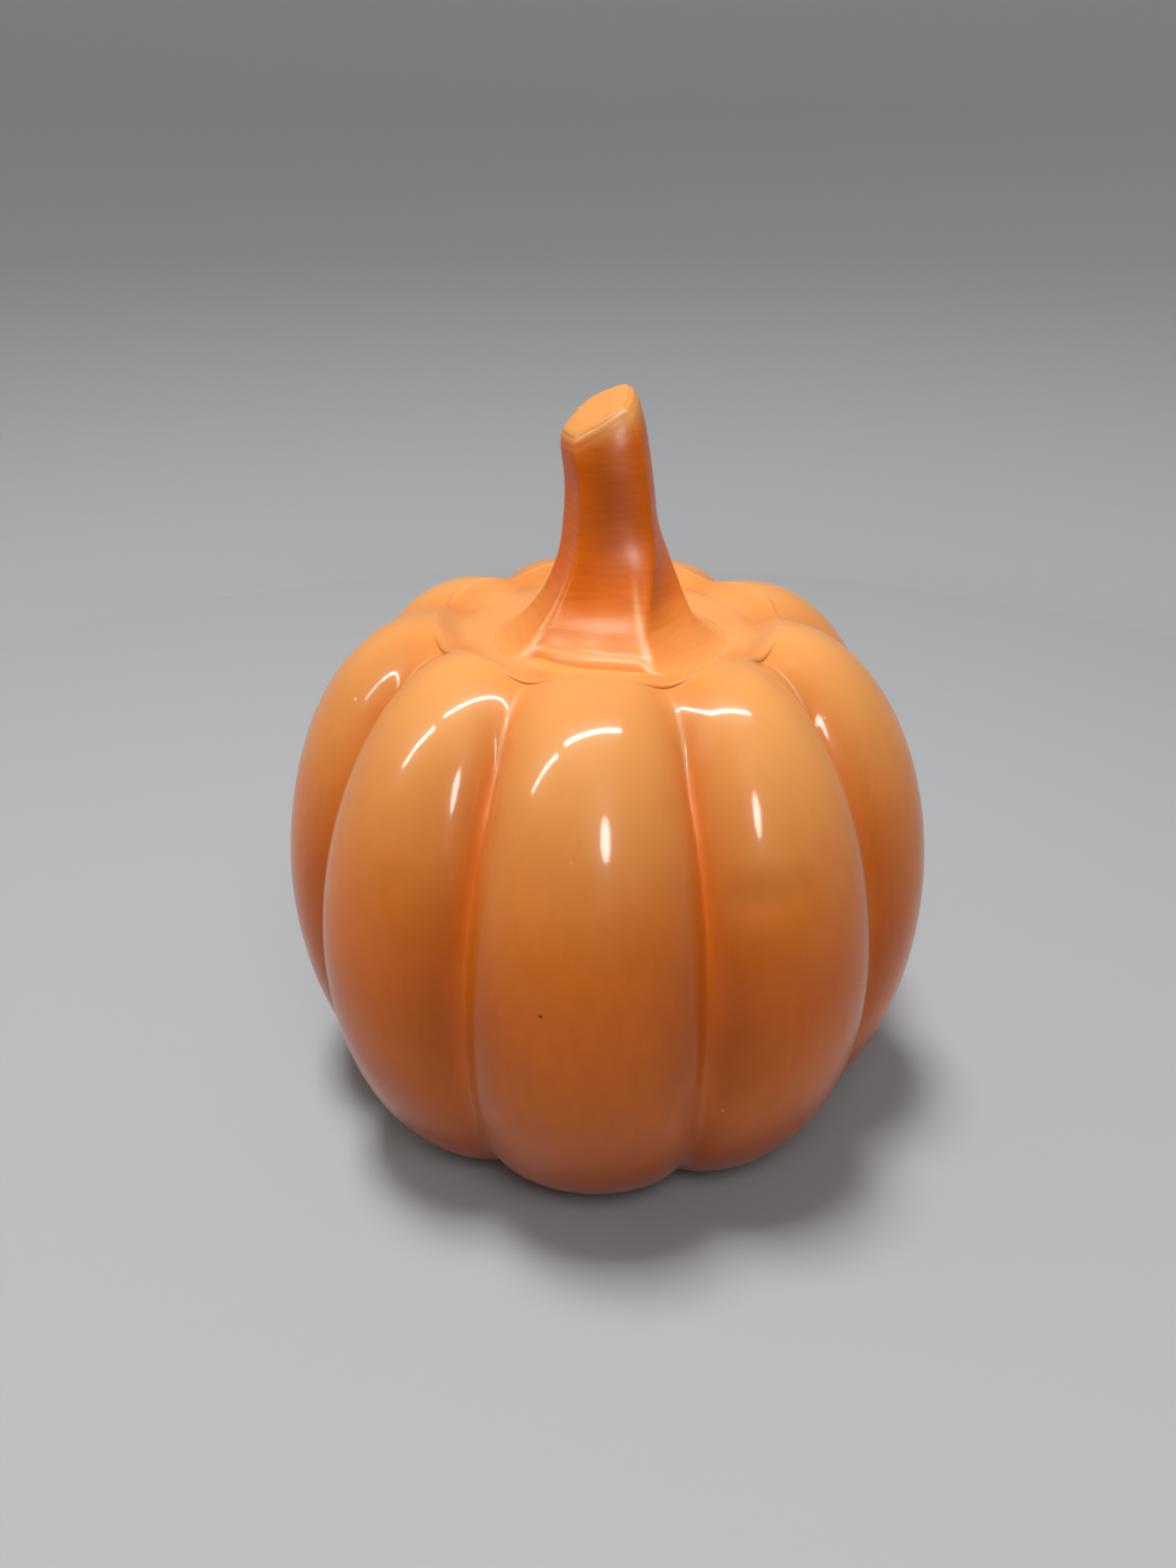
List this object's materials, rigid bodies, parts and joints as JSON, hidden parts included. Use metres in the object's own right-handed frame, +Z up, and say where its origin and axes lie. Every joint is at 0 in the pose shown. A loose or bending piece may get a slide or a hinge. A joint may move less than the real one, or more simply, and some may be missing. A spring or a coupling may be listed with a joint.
{
  "type": "ceramic pumpkin figure",
  "caption": "Hollow glazed ceramic pumpkin figure with rounded lobes, a pour opening in its flat base and a ridged stem with a slanted cut top.",
  "frame": {"origin": "centre of the flat base, on the surface the figure stands on", "axes": "+Z up along the body's axis, -Y towards the front, +X to the right seen from the front"},
  "size_m": [0.1483, 0.1479, 0.1673],
  "materials": {
    "body_glaze": "glossy translucent orange glaze",
    "stem_glaze": "glossy translucent orange glaze, thin and pale along the cut edge",
    "fired_slip": "matt fired clay with traces of glaze"
  },
  "bodies": {
    "root": {"body_shell": "body_glaze", "stem": "stem_glaze", "stem_slip": "fired_slip"}
  },
  "joints": []
}
